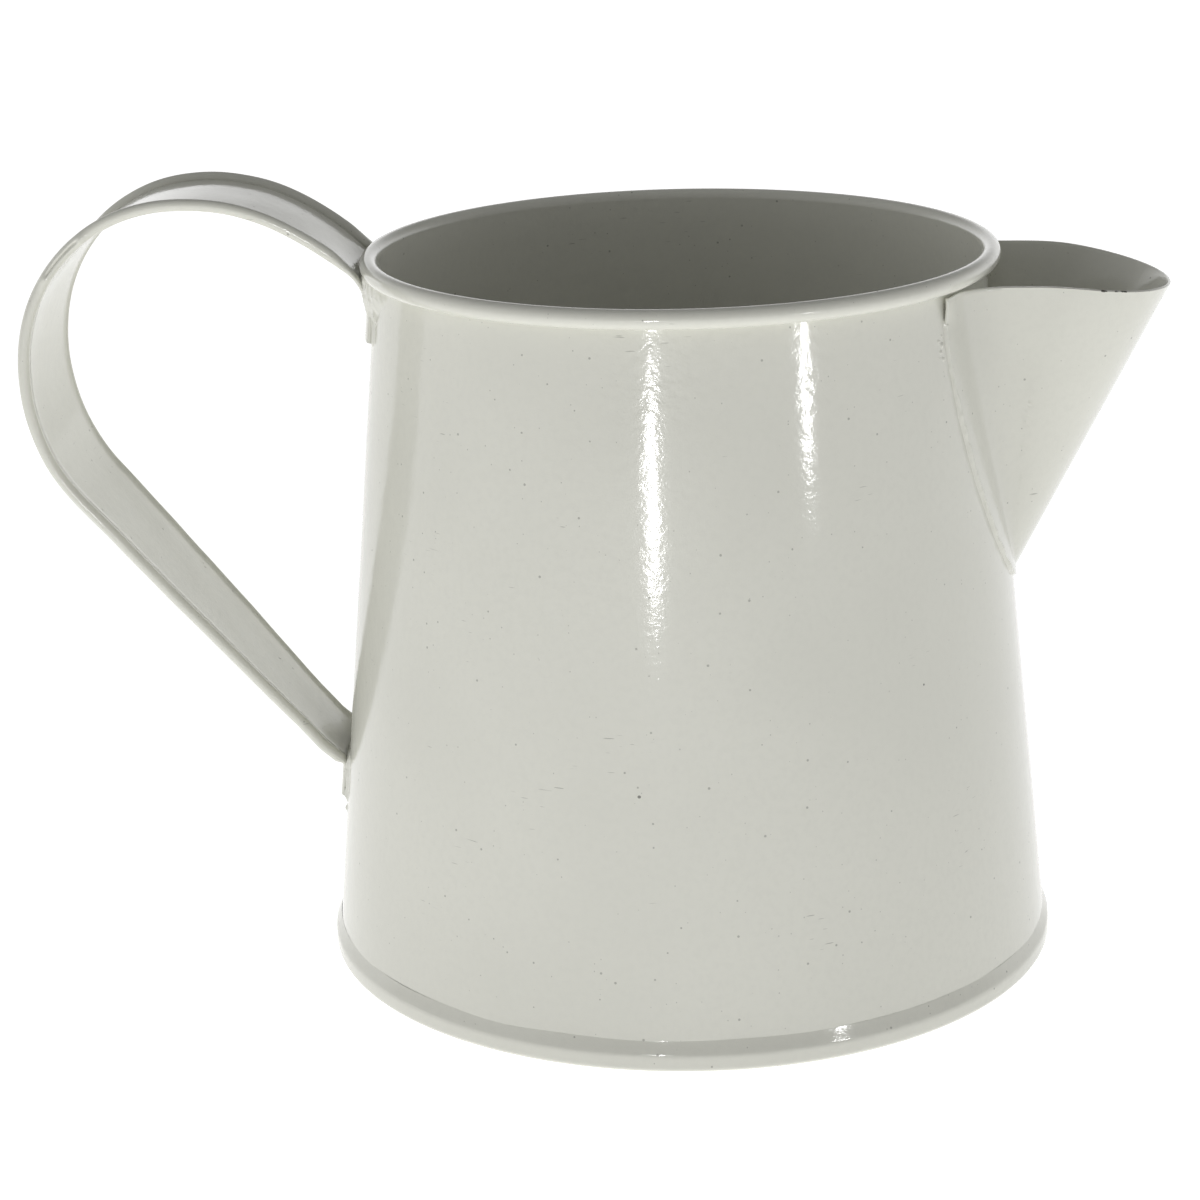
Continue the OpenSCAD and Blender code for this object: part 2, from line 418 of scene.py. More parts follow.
def build_wall(sizes, material):
    """The wall: an outer and an inner skin, and a curl that goes round the wire and ends under the bead."""
    curl_end = -124
    steps_up = 46
    outer = wall_run(0, SHEET, RIM_H, steps_up)
    over_wire = arc(RIM_R, RIM_H, WIRE_R, 180, curl_end, 34)[1:]
    over_sheet = arc(RIM_R, RIM_H, BEAD_R, curl_end, 180, 52)
    inner = wall_run(-SHEET, RIM_H, SHEET, steps_up // 2)[1:]
    profile = np.concatenate([outer, over_wire, over_sheet, inner])
    angle = turns_with_seam(wall_r(RIM_H / 2))
    r, z = profile[:, :1], profile[:, 1:]
    # Both skins stray together from the true cone, less and less towards the bead
    dents = ripple(angle * BASE_R, z, 34 * MM, 3) * sizes.waviness
    skin = np.zeros(len(profile))
    skin[:len(outer)] = smooth(0, 9 * MM, RIM_H - BEAD_R - outer[:, 1])
    skin[-len(inner):] = smooth(0, 9 * MM, RIM_H - BEAD_R - inner[:, 1])
    # Outside, the side seam's lap steps inwards and fades out, with a groove along its edge
    past_seam = (angle - math.pi) * wall_r(RIM_H / 2)
    lap = -0.16 * MM * smooth(-0.15 * MM, 0.15 * MM, past_seam) * (1 - smooth(0.6 * MM, 14 * MM, past_seam))
    groove = -0.10 * MM * hump(past_seam, 0, 0.22 * MM)
    outside = np.zeros(len(profile))
    outside[:len(outer)] = smooth(0, 2 * MM, RIM_H - BEAD_R - outer[:, 1])
    points = round_axis(r + dents * skin[:, None] + (lap + groove) * outside[:, None], angle[None, :], z)

    faces = grid_faces(len(profile), len(angle), rows_closed=True, columns_closed=True)
    cut_passage(add_piece("Body_wall", points, faces, material, ["body_wall"]))


def cut_passage(piece):
    """Cuts the round opening behind the spout through the wall, with a drum that lies along X.

    The drum's corners stand half a step off the wall's own lines, so that the cut leaves no slivers.
    """
    count, reach = 96, 9 * MM
    angle = (np.arange(count) + 0.5) / count * math.tau
    ring = np.stack([0 * angle, PASSAGE_R * np.cos(angle), PASSAGE_H + PASSAGE_R * np.sin(angle)], axis=1)
    middle = wall_r(PASSAGE_H)
    ends = np.concatenate([ring + (middle - reach, 0, 0), ring + (middle + reach, 0, 0)])
    sides = grid_faces(2, count, columns_closed=True).tolist()
    mesh = bpy.data.meshes.new("passage_cutter")
    mesh.from_pydata(ends.tolist(), [], sides + [list(range(count)), list(range(count, 2 * count))])
    tidy_mesh(mesh)
    cutter = bpy.data.objects.new("passage_cutter", mesh)
    bpy.context.scene.collection.objects.link(cutter)
    cut = piece.modifiers.new("passage", "BOOLEAN")
    cut.operation = "DIFFERENCE"
    cut.solver = "EXACT"
    cut.object = cutter
    apply_modifiers(piece)
    bpy.data.objects.remove(cutter)
    bpy.data.meshes.remove(mesh)


def apply_modifiers(piece):
    """Puts the result of the piece's modifiers into its mesh."""
    depsgraph = bpy.context.evaluated_depsgraph_get()
    result = bpy.data.meshes.new_from_object(piece.evaluated_get(depsgraph), depsgraph=depsgraph)
    name = piece.data.name
    piece.modifiers.clear()
    old = piece.data
    piece.data = result
    bpy.data.meshes.remove(old)
    result.name = name


def base_disc(height):
    """Half a section of the base's disc, from the axis outwards: the middle is raised by a pressed step."""
    step_r, step_rise = 44 * MM, 0.6 * MM
    r = np.concatenate([[0, 10, 20, 30, 40], np.linspace(42, 46, 13), [50, 55]]) * MM
    return np.stack([r, height + step_rise * (1 - smooth(step_r - 1 * MM, step_r + 1 * MM, r))], axis=1)


def build_base(material):
    """The base: a disc with a pressed step, turned down inside the wall and folded back up outside it."""
    inner_r, turn_r, fold_r = 0.5 * MM, 0.8 * MM, 0.9 * MM
    leg_out = wall_r(BASE_LIFT) - 2 * SHEET
    under = base_disc(BASE_LIFT)
    turn_down = arc(leg_out - turn_r, BASE_LIFT - turn_r, turn_r, 90, 8, 8)
    inner_foot = arc(wall_r(0) - 2 * SHEET + inner_r, inner_r, inner_r, 180, 270, 7)
    outer_foot = arc(BASE_R - fold_r, fold_r, fold_r, -90, 0, 12)

    # Outside, an easy round leads to a sloping shoulder, and paint fills the crease between it and the wall
    round_r, slope, shoulder_z = 2.4 * MM, 21, 2.2 * MM
    rounding = arc(BASE_R - round_r, shoulder_z, round_r, 0, slope, 8)
    crease_z = SEAM_H - 0.32 * MM
    crease = np.array([wall_r(crease_z) + 0.10 * MM, crease_z])
    start = crease + (rounding[-1] - crease) * 0.5
    end = np.array([wall_r(SEAM_H) + 0.03 * MM, SEAM_H - 0.01 * MM])
    t = np.linspace(0, 1, 11)[:, None]
    paint_fill = start * (1 - t) ** 2 + crease * 2 * t * (1 - t) + end * t ** 2
    shoulder = np.concatenate([rounding, run(rounding[-1], start, 5), paint_fill])

    # Inside the seam, the wall's lower edge stands in a pocket between the fold and the leg
    pocket = wall_run(0.02 * MM, SEAM_H - 0.6 * MM, SHEET, 4)
    pocket_foot = np.array([[wall_r(SHEET) - SHEET, SHEET]])
    leg = wall_run(-SHEET, SHEET + 0.5 * MM, BASE_TOP, 3)
    profile = np.concatenate([under, turn_down, inner_foot, outer_foot, shoulder, pocket, pocket_foot, leg,
                              base_disc(BASE_TOP)[::-1]])
    angle = turns_with_seam(BASE_R)
    r, z = profile[:, :1], profile[:, 1:]
    first = len(under) + len(turn_down) + len(inner_foot)
    rolled = np.zeros(len(profile))
    rolled[first:first + len(outer_foot) + len(shoulder)] = 1
    rolled *= smooth(0.4 * MM, 1.4 * MM, profile[:, 1])
    uneven = (ripple(angle * BASE_R, z, 21 * MM, 11) - 0.8) * 0.035 * MM
    notch = -0.25 * MM * hump((angle - math.pi) * BASE_R, 0, 0.5 * MM)
    points = round_axis(r + (uneven + notch) * rolled[:, None], angle[None, :], z)
    faces = grid_faces(len(profile), len(angle), columns_closed=True)
    add_piece("Base", points, faces, material, ["base_disc"])


def build_base_seam(material):
    """The fillet of solder inside the foot: a hollow-faced bead, uneven all round."""
    size = base_seam_high.z - base_seam_low.z
    angle = np.linspace(0, math.tau, 540, endpoint=False)
    t = np.linspace(0, 1, 15)[:, None]
    along = angle * FOOT_R
    swell = 1 + 0.22 * ripple(along, 0, 9 * MM, 21) + 0.12 * ripple(along, t * size, 3 * MM, 22)
    hollow = 0.22 * size * np.sin(math.pi * t)
    out = size * (1 - t) * swell - hollow
    up = size * t * swell - hollow
    edge = wall_r(BASE_TOP) - SHEET
    face = round_axis(edge - out - LEAN * up, angle, BASE_TOP + up)
    corner = round_axis(edge + 0 * out[:1], angle, BASE_TOP + 0 * up[:1])
    points = np.concatenate([face, corner])
    faces = grid_faces(len(points), len(angle), rows_closed=True, columns_closed=True)
    add_piece("Base_seam_solder", points, faces, material, ["base_seam_solder"])


def build_side_seam(material):
    """The strip of solder down the inside of the side seam: a low, lumpy ridge."""
    half = side_seam_high.y
    z = np.linspace(side_seam_low.z, side_seam_high.z - 0.6 * MM, 330)[:, None]
    y = np.linspace(-1, 1, 27)[None, :] * half
    lumps = 1 + 0.30 * ripple(y, z, 6 * MM, 31) + 0.16 * ripple(y, z, 1.8 * MM, 32)
    edge = half * (1 + 0.10 * ripple(z, 0, 7 * MM, 33))
    rise = (0.30 * MM * lumps) * np.sqrt(np.clip(1 - (y / edge) ** 2, 0, 1)) - 0.06 * MM
    fade = smooth(0, 1.5 * MM, z - side_seam_low.z) * smooth(0, 3 * MM, side_seam_high.z - z)
    rise = rise * fade - 0.01 * MM
    inside = wall_r(z) - SHEET
    turn = math.pi - y / inside
    front = round_axis(inside - rise, turn, z + 0 * y)
    back = round_axis(inside + 0.15 * MM, turn, z + 0 * y)
    add_solder("Side_seam_solder", front, back, material)


def nose_at(z):
    """The nose at height z: its radius, and how far its front stands from the axis."""
    share = (z - SPOUT_FOOT) / (LIP_TIP - SPOUT_FOOT)
    radius = NOSE_FOOT_R + (NOSE_TOP_R - NOSE_FOOT_R) * share
    front = wall_r(SPOUT_FOOT) + (SPOUT_REACH - wall_r(SPOUT_FOOT)) * share
    return radius, front


def bend_r_at(z):
    """Radius of the hollow bend between the spout's side and its flange: tight at the foot, easy above."""
    return (1.5 + 8.5 * smooth(SPOUT_FOOT - 4 * MM, SPOUT_FOOT + 42 * MM, z)) * MM


def flange_edge(z):
    """Angle round the axis at which the flange ends: the lower half of an ellipse, and upright above it."""
    depth = np.clip((FLANGE_MID - z) / (FLANGE_MID - spout_low.z), 0, 1)
    half = FLANGE_HALF * np.sqrt(1 - depth ** 2)
    return np.arcsin(half / (wall_r(z) + SHEET))


def spout_half(z, inwards):
    """One half of the spout's level sections, from the flange's edge round to the front.

    Each section is an arc on the wall, a hollow arc that touches it, a straight side and a quarter circle.
    Where the nose barely stands out, the hollow arc touches the nose and there is no side. Below that, all
    points but the flange's are one point on the wall.
    """
    z = z[..., None]
    radius, front = nose_at(z)
    radius, front = radius - inwards, front - inwards
    wall = wall_r(z) + SHEET - inwards
    bend = bend_r_at(z) + inwards
    middle = front - radius
    # The hollow arc's middle lies where it touches both the wall and the side, or else the wall and the nose
    side_x = np.sqrt(np.maximum((wall + bend) ** 2 - (radius + bend) ** 2, 0))
    has_side = side_x < middle
    touch_x = ((wall + bend) ** 2 - (radius + bend) ** 2 + middle ** 2) / (2 * middle)
    bend_x = np.where(has_side, side_x, np.minimum(touch_x, wall + bend))
    bend_y = np.sqrt(np.maximum((wall + bend) ** 2 - bend_x ** 2, 0))
    bend_y = np.where(has_side, radius + bend, bend_y)
    out = front > wall
    wall_angle = np.where(out, np.arctan2(bend_y, bend_x), 0)
    wall_angle = np.minimum(wall_angle, flange_edge(z))

    t = np.linspace(0, 1, FLANGE_STEPS, endpoint=False)
    turn = flange_edge(z) + (wall_angle - flange_edge(z)) * t
    parts = [np.stack([wall * np.cos(turn), wall * np.sin(turn)], axis=-1)]

    # Hollow arc
    to_wall = np.arctan2(-bend_y, -bend_x)
    to_nose = np.where(has_side, -math.pi / 2, np.arctan2(-bend_y, middle - bend_x))
    t = np.linspace(0, 1, BEND_STEPS, endpoint=False)
    turn = to_wall + (to_nose - to_wall) * t
    parts.append(np.stack([bend_x + bend * np.cos(turn), bend_y + bend * np.sin(turn)], axis=-1))

    # Straight side, without length where the arc touches the nose
    nose_start = np.where(has_side, math.pi / 2, to_nose + math.pi)
    start_x = middle + radius * np.cos(nose_start)
    start_y = radius * np.sin(nose_start)
    t = np.linspace(0, 1, SIDE_STEPS, endpoint=False)
    from_x = bend_x + bend * np.cos(to_nose)
    parts.append(np.stack([from_x + (start_x - from_x) * t, start_y + 0 * t], axis=-1))

    turn = nose_start * (1 - np.linspace(0, 1, NOSE_STEPS))
    parts.append(np.stack([middle + radius * np.cos(turn), radius * np.sin(turn)], axis=-1))

    flat = np.concatenate(parts, axis=-2)
    point = np.stack([wall + 0 * flat[..., 0], 0 * flat[..., 0]], axis=-1)
    hidden = ~out[..., None] & (np.arange(flat.shape[-2]) >= FLANGE_STEPS)[:, None]
    return np.where(hidden, point, flat)


def lip_height(x):
    """Height of the lip: level by the body, then falling evenly towards the tip."""
    ease = 2.0 * MM
    fall = (LIP_ROOT - LIP_TIP) / (SPOUT_REACH - LIP_BEND_X)
    return LIP_ROOT - 0.1 * MM - fall * ease * np.log1p(np.exp((x - LIP_BEND_X) / ease))


def spout_skin(inwards, side):
    """One skin of one half of the spout as a grid from its foot to its lip.

    Each column ends where it meets the lip, at a height found in a few rounds. The lowest rows are level.
    """
    columns = FLANGE_STEPS + BEND_STEPS + SIDE_STEPS + NOSE_STEPS
    pick = np.arange(columns)
    top = np.full(columns, LIP_ROOT)
    for _ in range(8):
        top = lip_height(spout_half(top, inwards)[pick, pick, 0])
    level_until = 0.05
    t = np.linspace(0, 1, SPOUT_ROWS)[:, None] ** 1.25
    above_level = np.maximum(t - level_until, 0) / (1 - level_until)
    z = spout_low.z + t * (LIP_ROOT - spout_low.z) + above_level * (top - LIP_ROOT)
    flat = np.stack([spout_half(z[:, j], inwards)[:, j] for j in pick], axis=1)
    x, y = flat[..., 0], flat[..., 1]
    if side < 0:
        # The flange's upper corner on the right springs off the wall
        corner = smooth(107.5 * MM, 112 * MM, z) * smooth(FLANGE_HALF - 5 * MM, FLANGE_HALF, y)
        gap = 0.7 * MM * corner
        x, y = x + gap * x / np.hypot(x, y), y + gap * y / np.hypot(x, y)
    ease = 0.05 * MM * ripple(x, z, 16 * MM, 41 + side)
    ease = ease * smooth(58 * MM, 62 * MM, x) * smooth(66 * MM, 75 * MM, z)
    return np.stack([x, side * (y + ease * smooth(0, 9 * MM, y)), z], axis=-1)


def spout_skins(inwards):
    """The whole skin from the flange's edge on the right to its edge on the left."""
    right = spout_skin(inwards, -1)
    left = spout_skin(inwards, 1)[:, ::-1]
    return np.concatenate([right, left[:, 1:]], axis=1)


def build_spout(material):
    """The spout: one bent sheet with rounded edges, from the right flange round the nose to the left one."""
    edge_round = 0.13 * MM
    outer = spout_skins(0.0)
    inner = spout_skins(SHEET)
    middle = (outer + inner) / 2

    def edge(column, neighbour):
        """Two columns of points that round off a flange's edge, less where it runs out at the foot."""
        away = middle[:, column] - middle[:, neighbour]
        length = np.linalg.norm(away, axis=1, keepdims=True)
        away = away / np.maximum(length, 1e-9) * np.minimum(length * 50, edge_round)
        near_outer = outer[:, column] * 0.75 + inner[:, column] * 0.25 + away
        near_inner = outer[:, column] * 0.25 + inner[:, column] * 0.75 + away
        return near_outer[:, None], near_inner[:, None]

    right_outer, right_inner = edge(0, 1)
    left_outer, left_inner = edge(-1, -2)
    loop = np.concatenate([outer, left_outer, left_inner, inner[:, ::-1], right_inner, right_outer], axis=1)
    columns = outer.shape[1]
    # One more row above the lip, nearer the sheet's middle, rounds it off
    top = middle[-1:]
    crown = loop[-1:].copy()
    crown_middle = np.concatenate([top, top[:, [-1, -1]], top[:, ::-1], top[:, [0, 0]]], axis=1)
    crown += (crown_middle - crown) * 0.45 + (0, 0, edge_round)
    loop = np.concatenate([loop, crown])
    rows, around = loop.shape[:2]
    faces = grid_faces(rows, around, columns_closed=True)
    j = np.arange(columns - 1)
    last = (rows - 1) * around
    inner_column = 2 * columns + 1 - j
    cap = last + np.stack([j, j + 1, inner_column - 1, inner_column], axis=1)
    ends = last + np.array([[columns - 1, columns, columns + 1, columns + 2],
                            [2 * columns + 1, 2 * columns + 2, 2 * columns + 3, 0]])

    x, z = loop[..., 0], loop[..., 2]
    below_lip = lip_height(x) - z
    chipped = hump(x, 67 * MM, 5.5 * MM) * (loop[..., 1] < 0)
    wear = (1 - smooth(0.05 * MM, 0.42 * MM, below_lip)) * (0.52 + 0.40 * chipped)
    add_piece("Spout", loop, np.concatenate([faces, cap, ends]), material, ["spout"], wear)


def build_spout_solder(material, name, side):
    """Solder along the flange's edge: a lumpy ridge that covers it, with spatter beside it on the right."""
    steps = 300
    stop = 109.2 * MM if side < 0 else 111.6 * MM
    tall = stop - spout_low.z
    # Heights at even distances along the ellipse, from its foot to the stop
    t = np.linspace(0, 1, steps)
    depth = 1 - t * tall / (FLANGE_MID - spout_low.z)
    ellipse = np.sin(np.arccos(np.clip(depth, 0, 1)))
    even = np.concatenate([[0], np.cumsum(np.hypot(np.diff(ellipse) * FLANGE_HALF, np.diff(t) * tall))])
    z = np.interp(np.linspace(0, even[-1], steps), even, spout_low.z + t * tall)
    # A strip of surface along the edge: d is the distance outside it, square to it
    reach = flange_edge(z) * wall_r(z)
    tangent = np.stack([np.gradient(reach), np.gradient(z)], axis=1)
    tangent /= np.linalg.norm(tangent, axis=1, keepdims=True)
    away = np.stack([tangent[:, 1], -tangent[:, 0]], axis=1)
    d = np.linspace(-0.45, 3.2, 62)[None, :] * MM
    across = reach[:, None] + away[:, :1] * d
    up = z[:, None] + away[:, 1:] * d
    across = np.maximum(across, -0.15 * MM)
    seed = 50 + side
    z = z[:, None]
    width = (0.42 + 0.14 * ripple(z, 0, 6 * MM, seed) + 0.08 * ripple(z, 0, 2 * MM, seed + 9)) * MM
    uneven = 1 + 0.24 * ripple(z, 0, 3.2 * MM, seed + 5) + 0.10 * ripple(across, up, 1.5 * MM, seed + 20)
    ridge = 0.66 * MM * (1 - smooth(-0.05 * MM, width, d)) * uneven
    ridge = ridge - 0.30 * MM * (1 - smooth(-0.45 * MM, -0.12 * MM, d))
    # Spatter on the right: distance from the edge, height, radius and thickness, in millimetres
    spatter = ((1.3, 105.2, 0.42, 0.30), (1.9, 104.2, 0.34, 0.24), (2.1, 105.9, 0.30, 0.22),
               (1.5, 103.1, 0.36, 0.24), (2.4, 103.4, 0.22, 0.18), (1.1, 106.6, 0.25, 0.20))
    for far, high, size, thick in spatter if side < 0 else ():
        spot = np.hypot(d - far * MM, up - high * MM)
        ridge = np.maximum(ridge, thick * MM * np.exp(-(spot / (size * MM)) ** 2))
    fade = smooth(0, 1.2 * MM, stop - z) * smooth(-0.6 * MM, 2 * MM, z - spout_low.z)
    rise = ridge * fade - 0.05 * MM
    radius = wall_r(up)
    turn = side * across / radius
    add_solder(name, round_axis(radius + rise, turn, up), round_axis(radius - 0.12 * MM, turn, up), material)


def strap_path():
    """The strap's middle line as points (x, z), its headings in degrees and its length so far.

    It runs up the wall, out round the rim's bead, over the back and down to the wall again, in runs and arcs.
    A run has its length, and a turn has the heading that it ends at and its radius.
    """
    foot_bend_r = 1.3 * MM
    down_wall = 180 + WALL_HEADING
    pieces = [("run", 4.6 * MM), ("turn", 117, 6 * MM), ("run", 1.38 * MM), ("turn", 141, 8 * MM),
              ("run", 5.2 * MM), ("turn", 186, 33 * MM), ("turn", 255, 26 * MM), ("turn", 310.5, 32 * MM),
              ("to wall",), ("turn", down_wall, foot_bend_r), ("tab",)]
    at = np.array([-wall_r(TOP_TAB_FOOT) - 0.05 * MM, TOP_TAB_FOOT])
    heading = WALL_HEADING
    spacing = 0.5 * MM
    points, headings = [at[None]], [np.array([heading])]
    for kind, *values in pieces:
        if kind == "turn":
            goal, radius = values
            side = math.copysign(1, goal - heading)
            steps = max(4, int(abs(goal - heading) * DEGREE * radius / spacing))
            angle = heading + (goal - heading) * np.arange(1, steps + 1) / steps
            sine, cosine = np.sin(np.radians(angle)), np.cos(np.radians(angle))
            first_sine, first_cosine = math.sin(heading * DEGREE), math.cos(heading * DEGREE)
            bit = at + side * radius * np.stack([sine - first_sine, first_cosine - cosine], axis=1)
            heading = goal
        else:
            direction = np.array([math.cos(heading * DEGREE), math.sin(heading * DEGREE)])
            if kind == "run":
                length = values[0]
            elif kind == "to wall":
                clear = FOOT_R + HEM_R
                length = (LEAN * at[1] - clear - at[0]) / (direction[0] - LEAN * direction[1])
                length -= foot_bend_r * math.tan(abs(down_wall - heading) * DEGREE / 2)
            else:
                length = (at[1] - FOOT_TAB_END) / -direction[1]
            steps = max(2, int(length / spacing))
            bit = at + direction * (length * np.arange(1, steps + 1) / steps)[:, None]
            angle = np.full(steps, float(heading))
        points.append(bit)
        headings.append(angle)
        at = bit[-1]
    points, headings = np.concatenate(points), np.concatenate(headings)
    length = np.concatenate([[0], np.cumsum(np.linalg.norm(np.diff(points, axis=0), axis=1))])
    return points, headings, length


def build_strap(sizes, material):
    """The handle: a strap whose edges are rolled outwards, flattened at both ends into tabs on the wall."""
    path, heading, s = strap_path()
    total = s[-1]

    # Half width: widest a third of the way round, narrower by the square of the distance from there
    widest = 0.35
    rim_at, foot_at = 18 * MM, total - 16 * MM
    u = (s - rim_at) / (foot_at - rim_at)
    half = STRAP_HALF - np.where(u < widest, 18.6, 10.4) * MM * (u - widest) ** 2
    past_tab = smooth(7 * MM, 17 * MM, s)
    half = np.maximum(half, FOOT_TAB_HALF) * past_tab + TOP_TAB_HALF * (1 - past_tab)

    # Flat is 1 where the rolled edges are pressed flat. Bend is the curvature of a tab that wraps the wall
    flat_top = 1 - smooth(10 * MM, 17 * MM, s)
    flat_foot = smooth(total - 6.9 * MM, total - 5.0 * MM, s)
    flat = np.maximum(flat_top, flat_foot)[:, None]
    wrap = np.maximum(1 - smooth(10 * MM, 24 * MM, s), smooth(total - 10 * MM, total - 6.5 * MM, s))
    bend = (wrap / np.abs(path[:, 0]))[:, None] + 1e-6

    # Section, in y across the strap and b outwards: one edge, the web's top, the other edge, its underside
    hem_steps, web_steps = 30, 12
    share = np.linspace(0, 1, hem_steps)[None, :]
    hem_start, hem_end = -132 + 42 * flat, 192 + 15 * flat
    hem_turn = np.radians(hem_start + (hem_end - hem_start) * share)
    hem_up = HEM_R + (0.50 * MM - HEM_R) * flat
    hem_out = HEM_R + (1.45 * MM - HEM_R) * flat
    hem_y = half[:, None] - hem_out
    hem_b = -HEM_R + hem_up
    near_y = hem_y + hem_out * np.cos(hem_turn)
    near_b = hem_b + hem_up * np.sin(hem_turn)
    web_low = -HEM_R + 0.25 * MM * (1 - flat)
    across = 1 - 2 * np.linspace(0, 1, web_steps + 1)[None, 1:-1]
    crown = 0.10 * MM * (1 - flat) * (1 - across ** 2)
    top_y, low_y = near_y[:, -1:] * across, -near_y[:, :1] * across
    y = np.concatenate([near_y, top_y, -near_y[:, ::-1], low_y], axis=1)
    b = np.concatenate([near_b, web_low + SHEET + crown, near_b[:, ::-1], web_low + crown], axis=1)

    along = s[:, None]
    b = b + ripple(along, y, 15 * MM, 61) * 0.05 * MM * smooth(20 * MM, 30 * MM, along)

    # On the right, the rolled edge is open for a stretch between two blobs
    slit_start, slit_end = sizes.slit_at, sizes.slit_at + 8.6 * MM
    near_hem = smooth(0, 0.4 * MM, -y - hem_y) * hump(b - hem_b, 0, 0.8 * MM)
    blobs = hump(along, slit_start, 0.9 * MM) + hump(along, slit_end, 1.2 * MM)
    slit = smooth(slit_start, slit_start + 0.6 * MM, along) * smooth(slit_end, slit_end - 0.6 * MM, along)
    lift = (0.32 * blobs - 0.35 * slit * hump(b - hem_b, 0.05 * MM, 0.2 * MM)) * MM * near_hem
    y = y - lift

    normal_x = np.sin(np.radians(heading))[:, None]
    normal_z = -np.cos(np.radians(heading))[:, None]
    turn = bend * y
    x = path[:, :1] + (1 - np.cos(turn)) / bend + b * normal_x * np.cos(turn)
    wrapped_y = np.sin(turn) / bend - b * normal_x * np.sin(turn)
    points = np.stack([x, wrapped_y, path[:, 1:] + b * normal_z], axis=-1)
    rows, columns = points.shape[:2]
    faces = grid_faces(rows, columns, columns_closed=True).tolist()
    last = (rows - 1) * columns
    faces += [list(range(columns)), list(range(last, last + columns))]
    wear = 0.33 * smooth(0.55 * MM, 0.9 * MM, np.abs(y) - hem_y) * (1 - flat)
    add_piece("Handle", points, faces, material, ["handle_strap"], wear, sharp=42)


def on_back(across, z, rise):
    """Points on the back of the wall: across is measured round it from the seam, rise outwards from it."""
    radius = wall_r(z)
    return round_axis(radius + rise, math.pi + across / radius, z)


def drop(across, z, middle, high, size, tall):
    """A drop of solder, half as high again as wide: its place, size and thickness are in millimetres."""
    return tall * MM * hump(across, middle * MM, size * MM) * hump(z, high * MM, size * MM * 1.5)


def build_top_solder(material):
    """Solder round the upper tab: a thin fillet beside it that widens and thickens towards the bead."""
    across = np.linspace(-21.5, 21.5, 190)[None, :] * MM
    z = np.linspace(101.8, 113.5, 66)[:, None] * MM
    tab, widest = TOP_TAB_HALF, 24 * DEGREE * MOUTH_R
    width = tab + (widest - tab) * smooth(106.3 * MM, 111.8 * MM, z) + 1.6 * MM
    width = width + 0.4 * MM * ripple(across * 0, z, 6 * MM, 71) + 0.15 * MM * ripple(across, z, 2.4 * MM, 72)
    height = (0.85 + 1.45 * smooth(105.2 * MM, 112.2 * MM, z)) * MM
    inside = 1 - np.clip((np.abs(across) - tab + 1 * MM) / (width - tab + 1 * MM), 0, 1)
    rise = height * inside ** 1.1 * (1 + 0.04 * ripple(across, z, 1.9 * MM, 73))
    below = smooth(102.1 * MM, 103.3 * MM, z + 0.3 * MM * ripple(across, 0, 2.6 * MM, 74))
    rise = rise * below - 0.10 * MM
    for bead in ((-14.4, 108.2, 0.55, 0.50), (-13.9, 105.6, 0.4, 0.4), (14.8, 107.4, 0.6, 0.5)):
        rise = rise + drop(across, z, *bead)
    add_solder("Handle_top_solder", on_back(across, z, rise), on_back(across, z, -0.14 * MM), material)


def build_foot_solder(material):
    """Solder round the lower tab: a fillet along its edges, and drips that ran down from its corners."""
    across = np.linspace(-13.5, 13.5, 210)[None, :] * MM
    z = np.linspace(19.2, 36, 132)[:, None] * MM
    tab = FOOT_TAB_HALF
    wander = 0.22 * MM * ripple(across, z, 2.2 * MM, 81)
    beside = np.maximum(np.abs(across) - tab, 0)
    under = np.maximum(FOOT_TAB_END - z, 0)
    fillet = 0.62 * MM * np.clip(1 - (np.hypot(beside, under) + wander) / (1.25 * MM), 0, 1) ** 1.4
    rise = fillet * smooth(33.4 * MM, 31.2 * MM, z)
    # Drips that narrow downwards: middle, lower end, thickness and half width, in millimetres
    for middle, low, tall, wide in ((-9.5, 23.8, 1.15, 1.1), (8.9, 24.2, 0.6, 0.9), (2.1, 24.6, 0.35, 1.2)):
        share = np.clip((z - low * MM) / (FOOT_TAB_END + 1.5 * MM - low * MM), 0, 1)
        drip = tall * MM * share ** 0.6 * hump(across, middle * MM, wide * MM * (0.35 + 0.65 * share))
        rise = np.maximum(rise, drip * (z < 31 * MM))
    for bead in ((-9.75, 22.5, 0.42, 0.55), (-9.8, 21.0, 0.20, 0.28), (9.0, 23.2, 0.35, 0.35)):
        rise = np.maximum(rise, drop(across, z, *bead))
    rise = rise - 0.06 * MM
    add_solder("Handle_foot_solder", on_back(across, z, rise), on_back(across, z, -0.14 * MM), material)


# ---------------------------------------------------------------- settings

def number(name, description, default, **more):
    return FloatProperty(name=name, description=description, default=default, **more)


def length(name, description, default):
    return number(name, description, default, subtype="DISTANCE", unit="LENGTH")


def colour(name, description, default):
    return FloatVectorProperty(name=name, description=description, default=default, subtype="COLOR", size=3,
                               min=0, max=1)


class CanSizes(bpy.types.PropertyGroup):
    """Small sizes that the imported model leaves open"""

    waviness: length("Waviness", "How far the rolled sheet strays from a true cone", 0.035 * MM)
    slit_at: length("Slit", "How far along the strap its rolled edge starts to be open", 57.6 * MM)


class CanColours(bpy.types.PropertyGroup):
    """Colours of the finishes, and the paint's texture"""

    paint: colour("Paint", "Glossy paint, inside and out", (0.748, 0.748, 0.675))
    primer: colour("Primer", "Dark primer under chips and in dust specks", (0.07, 0.07, 0.055))
    steel: colour("Steel", "Bare steel of the rim's wire", (0.45, 0.46, 0.47))
    peel: length("Orange peel", "Depth of the dimples in the paint", 0.037 * MM)
    peel_scale: number("Peel scale", "Dimples to a metre", 590)


